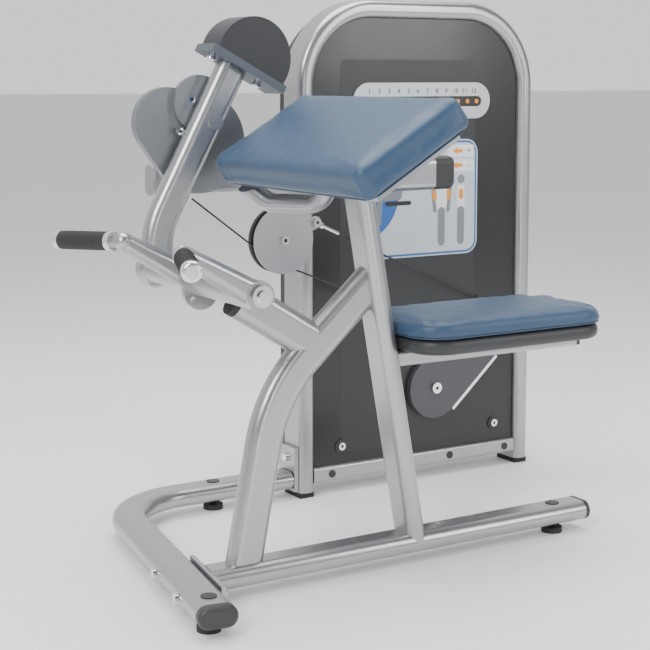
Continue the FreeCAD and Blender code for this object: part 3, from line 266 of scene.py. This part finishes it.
def tube_ring(name, points, radius, sides=8):
    """Closed tube through the points of a flat loop."""
    form = bmesh.new()
    count = len(points)
    rings = []
    for index, point in enumerate(points):
        along = (points[(index + 1) % count] - points[index - 1]).normalized()
        outward = along.cross(Vector((0, 0, 1)))
        rings.append([form.verts.new(point + outward * radius * math.cos(angle)
                                     + Vector((0, 0, 1)) * radius * math.sin(angle))
                      for angle in (2 * math.pi * side / sides for side in range(sides))])
    for index in range(count):
        here, there = rings[index], rings[(index + 1) % count]
        for side in range(sides):
            form.faces.new([here[side], here[(side + 1) % sides], there[(side + 1) % sides], there[side]])
    bmesh.ops.recalc_face_normals(form, faces=form.faces)
    mesh = bpy.data.meshes.new(name)
    form.to_mesh(mesh)
    form.free()
    return mesh


def sheet_piece(name, outline, thick, mat, body="frame"):
    """Thin plate facing -Y from an outline of (x, z) points; outline lies at its given Y."""
    form = bmesh.new()
    front = [form.verts.new(point) for point in outline]
    face = form.faces.new(front)
    grown = bmesh.ops.extrude_face_region(form, geom=[face])
    moved = [item for item in grown["geom"] if isinstance(item, bmesh.types.BMVert)]
    bmesh.ops.translate(form, verts=moved, vec=(0, -thick, 0))
    bmesh.ops.recalc_face_normals(form, faces=form.faces)
    mesh = bpy.data.meshes.new(name)
    form.to_mesh(mesh)
    form.free()
    return add(name, mesh, mat, body, smooth=False)


def disc_outline(x, y, z, radius, start=0.0, stop=360.0, steps=40):
    """Points of a circle, or of an arc from start to stop."""
    count = steps if stop - start >= 360 else steps + 1
    angles = [math.radians(start + (stop - start) * step / steps) for step in range(count)]
    return [(x + radius * math.cos(angle), y, z + radius * math.sin(angle)) for angle in angles]


def pill_outline(x, y, z, long, round_, lean=0.0, steps=10):
    """Obround about a point, its long side leaning from vertical."""
    points = []
    turn = Matrix.Rotation(math.radians(lean), 3, "Y")
    for end in (1, -1):
        for step in range(steps + 1):
            angle = math.pi * step / steps + (0 if end > 0 else math.pi)
            height = end * (long / 2 - round_) + round_ * math.sin(angle)
            spot = turn @ Vector((round_ * math.cos(angle), 0, height))
            points.append((x + spot.x, y, z + spot.z))
    return points


def frame_outline(x, y, z, wide, tall, corner):
    """Rounded rectangle about a point."""
    return [(x + point.x, y, z + point.y) for point in ring_line(wide / 2, tall / 2, corner)]


# ---------------------------------------------------------------- arm pad
CUSHION_PITCH = 0.0065
WELT_RADIUS = 0.0022
PAD_TILT = 31
PAD_SIZE = (0.315, 0.658, 0.077)
pad_mesh = rounded_block("upholstered_arm_pad", PAD_SIZE, 0.026, 0.021, 0.003, CUSHION_PITCH, 0.0007)
pad_place = Matrix.Translation(middle("arm_pad")) @ Matrix.Rotation(math.radians(-PAD_TILT), 4, "Y")
pad = add("upholstered_arm_pad", pad_mesh, VINYL, "frame")
puff(pad, lambda point: point.z < -PAD_SIZE[2] / 2 + 0.012, 4, 0.004)
pad_mesh.transform(pad_place)
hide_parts("arm_pad")
pad_welt_mesh = tube_ring("arm_pad_welt", ring_line(0.1465, 0.3185, 0.03), WELT_RADIUS)
pad_welt_mesh.transform(pad_place @ Matrix.Translation((0, 0, -0.0375)))
add("arm_pad_welt", pad_welt_mesh, WELT, "frame")

# ---------------------------------------------------------------- seat
seat_low, seat_high = (Vector(corner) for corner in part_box("seat_cushion"))
seat_size = seat_high - seat_low
seat_block = (seat_size.x - 0.004, seat_size.y - 0.004, seat_size.z)
seat_mesh = rounded_block("upholstered_seat", seat_block, 0.085, 0.017, 0.009, CUSHION_PITCH, 0.0009)
seat = add("upholstered_seat", seat_mesh, VINYL, "frame")
puff(seat, lambda point: point.z < -seat_size.z / 2 + 0.008, 4, 0.004)
seat_mesh.transform(Matrix.Translation((seat_low + seat_high) / 2))
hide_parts("seat_cushion")
seat_welt_line = ring_line(seat_size.x / 2 - 0.006, seat_size.y / 2 - 0.006, 0.08)
seat_welt_mesh = tube_ring("seat_welt", seat_welt_line, WELT_RADIUS)
seat_welt_mesh.transform(Matrix.Translation(((seat_low.x + seat_high.x) / 2, (seat_low.y + seat_high.y) / 2,
                                             seat_low.z + 0.004)))
add("seat_welt", seat_welt_mesh, WELT, "frame")
pan_low, pan_high = (Vector(corner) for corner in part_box("seat_pan"))
pan_size = pan_high - pan_low
pan_mesh = rounded_block("seat_shell", pan_size, 0.080, 0.015, 0.0, CUSHION_PITCH)
pan_mesh.transform(Matrix.Translation((pan_low + pan_high) / 2))
pan = add("seat_shell", pan_mesh, PLASTIC, "frame")
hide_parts("seat_pan")

# ---------------------------------------------------------------- grips
GRIP_SWEEP, GRIP_FALL = 21.06, 0.046
GRIP_ELBOW = (0.096, 0.150, 0.8075)
RIB_COUNT, RIB_START, RIB_PITCH = 16, 0.052, 0.0086
RIB_RADIUS, RIB_THICK, RIB_POINTS = 0.0212, 0.0006, 40


def grip_rings():
    """Moulded ribs round both rubber grips."""
    sweep = math.radians(GRIP_SWEEP)
    for side in (-1, 1):
        reach = Vector((-math.sin(sweep), side * math.cos(sweep), -GRIP_FALL)).normalized()
        turn = reach.to_track_quat("Z", "Y").to_matrix().to_4x4()
        elbow = Vector((GRIP_ELBOW[0], side * GRIP_ELBOW[1], GRIP_ELBOW[2])) - CENTRE
        for number in range(RIB_COUNT):
            loop = [Vector((RIB_RADIUS * math.cos(angle), RIB_RADIUS * math.sin(angle), 0))
                    for angle in (2 * math.pi * step / RIB_POINTS for step in range(RIB_POINTS))]
            mesh = tube_ring(f"grip_rib_{side}_{number}", loop, RIB_THICK, 6)
            mesh.transform(Matrix.Translation(elbow + reach * (RIB_START + number * RIB_PITCH)) @ turn)
            add(f"grip_rib_{side}_{number}", mesh, RUBBER, "yoke")


grip_rings()

# ---------------------------------------------------------------- selector plate
FILM = 0.0003
plate_low, plate_high = (Vector(corner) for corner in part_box("selector_plate"))
plate_front = plate_low.y
dots_low, dots_high = (Vector(corner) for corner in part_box("selector_dots"))
LEVELS = 12


def lettering(name, words, x, y, z, height, mat):
    """Raised characters facing the user, centred on x."""
    curve = bpy.data.curves.new(name, "FONT")
    curve.body = words
    curve.size = height
    curve.align_x = "CENTER"
    curve.extrude = 0.0002
    text = bpy.data.objects.new(name, curve)
    bpy.context.scene.collection.objects.link(text)
    bpy.context.view_layer.update()
    mesh = bpy.data.meshes.new_from_object(text)
    bpy.data.objects.remove(text)
    mesh.transform(Matrix.Translation((x, y, z)) @ Matrix.Rotation(math.radians(90), 4, "X"))
    return add(name, mesh, mat, "frame", smooth=False)


first_number = plate_low.x + 0.0537
number_step = (plate_high.x - 0.0588 - first_number) / (LEVELS - 1)
for level in range(LEVELS):
    number_x = first_number + level * number_step
    lettering(f"level_number_{level + 1}", str(level + 1), number_x, plate_front - FILM,
              plate_low.z + 0.074, 0.019, INK_AND_SOCKET_SHADE)
plate_x = (plate_low.x + plate_high.x) / 2
slot_z = (dots_low.z + dots_high.z) / 2
slot_line = frame_outline(plate_x, plate_high.y - 0.0002, slot_z, 0.412, 0.026, 0.0125)
sheet_piece("selector_slot_floor", slot_line, 0.0004, PANEL)
mark_line = pill_outline(plate_x, plate_front, plate_low.z + 0.017, 0.030, 0.005, 90)
sheet_piece("selector_mark", mark_line, 0.0005, INK_AND_SOCKET_SHADE)

# ---------------------------------------------------------------- placard
card_low, card_high = (Vector(corner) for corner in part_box("instruction_placard"))
card_x, card_z = (card_low.x + card_high.x) / 2, (card_low.z + card_high.z) / 2
card_y = card_low.y
card_wide, card_tall = card_high.x - card_low.x, card_high.z - card_low.z
border = frame_outline(card_x, card_y - 0.00005, card_z, card_wide - 0.008, card_tall - 0.008, 0.036)
sheet_piece("placard_border", border, FILM, BLUE)
field = frame_outline(card_x, card_y - FILM, card_z, card_wide - 0.020, card_tall - 0.020, 0.031)
sheet_piece("placard_field", field, FILM, PRINT)
quarter_y = card_y - 2 * FILM
quarter = disc_outline(card_low.x + 0.012, quarter_y, card_z + 0.020, 0.135, -90, 90)
sheet_piece("placard_half_disc", quarter, FILM, BLUE)
for row, words in enumerate(("+", "-")):
    tag_z = card_high.z - 0.034 - row * 0.042
    tag_x = card_high.x - 0.062
    tag = frame_outline(tag_x, quarter_y, tag_z, 0.096, 0.034, 0.004)
    sheet_piece(f"placard_tag_{row}", tag, FILM, WHITE)
    arrow = [(-0.020, 0.0), (-0.004, 0.011), (-0.004, 0.005), (0.014, 0.005), (0.014, -0.005),
             (-0.004, -0.005), (-0.004, -0.011)]
    turned = [(tag_x - 0.008 + dx, quarter_y - FILM, tag_z + dz) for dx, dz in arrow]
    sheet_piece(f"placard_arrow_{row}", turned, FILM, ORANGE)
    lettering(f"placard_sign_{row}", words, tag_x + 0.030, quarter_y - 2 * FILM, tag_z - 0.008, 0.026, INK_AND_SOCKET_SHADE)


def standing_figure(name, x, z, tall, facing):
    """Generic upright figure of simple rounded shapes with an orange patch on its upper arm."""
    y = quarter_y - FILM
    unit = tall / 8
    shapes = {
        "head": disc_outline(x, y, z + 7.4 * unit, 0.50 * unit),
        "trunk": pill_outline(x, y, z + 5.35 * unit, 2.9 * unit, (0.78 if facing else 0.52) * unit),
        "legs": pill_outline(x, y - 0.00015, z + 2.1 * unit, 4.4 * unit, 0.48 * unit),
    }
    if facing:
        shapes["arm_left"] = pill_outline(x - 1.05 * unit, y - 0.0001, z + 5.2 * unit, 3.0 * unit,
                                          0.24 * unit, -6)
        shapes["arm_right"] = pill_outline(x + 1.05 * unit, y - 0.0001, z + 5.2 * unit, 3.0 * unit,
                                           0.24 * unit, 6)
    for part, outline in shapes.items():
        sheet_piece(f"{name}_{part}", outline, FILM, WHITE if part == "trunk" else FIGURE)
    patches = (-1.0, 1.0) if facing else (0.0,)
    for number, offset in enumerate(patches):
        patch = pill_outline(x + offset * unit, y - 0.0005, z + 5.7 * unit, 1.2 * unit, 0.28 * unit)
        sheet_piece(f"{name}_patch_{number}", patch, FILM, ORANGE)


standing_figure("figure_front", card_high.x - 0.130, card_low.z + 0.030, 0.205, True)
standing_figure("figure_side", card_high.x - 0.060, card_low.z + 0.030, 0.205, False)


def seated_figure(x, z):
    """Generic seated figure curling an arm, drawn as simple rounded strokes on a seat."""
    y = quarter_y - 0.0005
    strokes = {
        "head": disc_outline(x + 0.030, y, z + 0.100, 0.014),
        "trunk": pill_outline(x + 0.040, y, z + 0.045, 0.090, 0.015, 12),
        "thigh": pill_outline(x + 0.005, y - 0.0001, z + 0.005, 0.085, 0.012, 88),
        "shin": pill_outline(x - 0.030, y - 0.0002, z - 0.035, 0.085, 0.009, 4),
        "seat": pill_outline(x + 0.035, y - 0.0003, z - 0.016, 0.090, 0.006, 90),
        "forearm": pill_outline(x - 0.036, y - 0.0004, z + 0.062, 0.060, 0.007, 35),
    }
    for part, outline in strokes.items():
        sheet_piece(f"figure_seated_{part}", outline, FILM, INK_AND_SOCKET_SHADE if part == "seat" else FIGURE)
    arm = pill_outline(x + 0.002, y - 0.0005, z + 0.058, 0.066, 0.009, 70)
    sheet_piece("figure_seated_arm", arm, FILM, ORANGE)


seated_figure(card_low.x + 0.110, card_z + 0.005)

# ---------------------------------------------------------------- tower panel details
panel_low, panel_high = (Vector(corner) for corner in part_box("tower_front_panel"))
inset_x = (panel_low.x + panel_high.x) / 2 - 0.030
inset_low, inset_high = panel_low.z + 0.030, plate_high.z + 0.065
inset_z = (inset_low + inset_high) / 2
inset = frame_outline(inset_x, panel_low.y, inset_z, 0.468, inset_high - inset_low, 0.020)
sheet_piece("panel_inset", inset, FILM, PANEL_INSET)


def socket_shade(name, centre, axis, body, radius=0.0058):
    """Flat black hexagon on the face of a bolt head: painted shade standing in for the shaded recess of its
    hex socket.
    """
    form = bmesh.new()
    bmesh.ops.create_circle(form, cap_ends=True, segments=6, radius=radius)
    mesh = bpy.data.meshes.new(name)
    form.to_mesh(mesh)
    form.free()
    turn = Vector(axis).to_track_quat("Z", "Y").to_matrix().to_4x4()
    mesh.transform(Matrix.Translation(Vector(centre) + Vector(axis) * 0.0003) @ turn)
    add(name, mesh, INK_AND_SOCKET_SHADE, body, smooth=False)


FRONT = (0, -1, 0)
# Painted shade: flat black hexagons on bolt faces, in place of the shaded recesses of their sockets.
for name, node, body in (("axle_socket", "pulley_axle", "frame"), ("hub_socket", "guard_hub", "frame")):
    spot = middle(node)
    socket_shade(name, (spot.x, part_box(node)[0][1], spot.z), FRONT, body)
BOLT_FACES = {"panel_left": (0.964, 0.603, 0.130, "frame"), "panel_right": (1.507, 0.603, 0.133, "frame"),
              "terminal": (0.768, 0.415, 0.794, "frame"), "cam_high": (0.398, 0.401, 1.118, "lever"),
              "cam_low": (0.366, 0.401, 1.040, "lever")}
for name, (x, y, z, body) in BOLT_FACES.items():
    socket_shade(f"{name}_socket", Vector((x, y, z)) - CENTRE, FRONT, body, 0.0048)
for name in ("panel_left", "panel_right"):
    x, y, z, body = BOLT_FACES[name]
    spot = Vector((x, 0.6099, z)) - CENTRE
    sheet_piece(f"{name}_washer", disc_outline(spot.x, spot.y, spot.z, 0.0195), 0.0006, PLASTIC)

# ---------------------------------------------------------------- camera and light
AZIMUTH, PITCH = 31.6, 6.45
camera_data = bpy.data.cameras.new("camera")
camera_data.lens = 83.8
camera_data.sensor_width = 36
camera_data.shift_y = -0.12
camera = bpy.data.objects.new("camera", camera_data)
camera.location = Vector((-1.280, -2.950, 1.175)) - CENTRE
camera.rotation_euler = (math.radians(90 - PITCH), 0, math.radians(-AZIMUTH))
bpy.context.scene.collection.objects.link(camera)
bpy.context.scene.camera = camera

floor_mesh = bpy.data.meshes.new("floor")
floor_mesh.from_pydata([(-90, -90, 0), (90, -90, 0), (90, 90, 0), (-90, 90, 0)], [], [(0, 1, 2, 3)])
floor_mesh.materials.append(FLOOR)
floor = bpy.data.objects.new("floor", floor_mesh)
floor.location.z = -0.0005
bpy.context.scene.collection.objects.link(floor)


def softbox(name, place, aim, wide, tall, power):
    """Large rectangular studio light aimed at a point."""
    data = bpy.data.lights.new(name, "AREA")
    data.shape = "RECTANGLE"
    data.size, data.size_y = wide, tall
    data.energy = power
    lamp = bpy.data.objects.new(name, data)
    lamp.location = place
    lamp.rotation_euler = (Vector(aim) - Vector(place)).to_track_quat("-Z", "Y").to_euler()
    bpy.context.scene.collection.objects.link(lamp)


softbox("key_light", (-3.4, -2.2, 3.2), (0, 0, 0.7), 1.2, 2.8, 170)
softbox("fill_light", (3.0, -3.6, 2.4), (0, 0, 0.7), 0.9, 2.6, 80)
softbox("top_light", (0.2, 0.3, 4.2), (0, 0, 0), 3.4, 3.0, 190)
softbox("front_strip", (-0.6, -4.6, 1.0), (0, 0, 0.7), 0.35, 2.2, 26)

world = bpy.data.worlds.new("studio")
world.use_nodes = True
world_nodes, world_links = world.node_tree.nodes, world.node_tree.links
background = world_nodes["Background"]
background.inputs["Strength"].default_value = 1.15
sky_place = world_nodes.new("ShaderNodeTexCoord")
sky_split = world_nodes.new("ShaderNodeSeparateXYZ")
sky_depth = world_nodes.new("ShaderNodeMapRange")
sky_depth.inputs["From Min"].default_value = -0.35
sky_depth.inputs["From Max"].default_value = 0.45
sky_ramp = world_nodes.new("ShaderNodeValToRGB")
sky_ramp.color_ramp.elements[0].color = (0.15, 0.155, 0.165, 1)
sky_ramp.color_ramp.elements[1].color = (0.95, 0.95, 0.96, 1)
world_links.new(sky_place.outputs["Generated"], sky_split.inputs["Vector"])
world_links.new(sky_split.outputs["Y"], sky_depth.inputs["Value"])
world_links.new(sky_depth.outputs["Result"], sky_ramp.inputs["Fac"])
world_links.new(sky_ramp.outputs["Color"], background.inputs["Color"])
bpy.context.scene.world = world
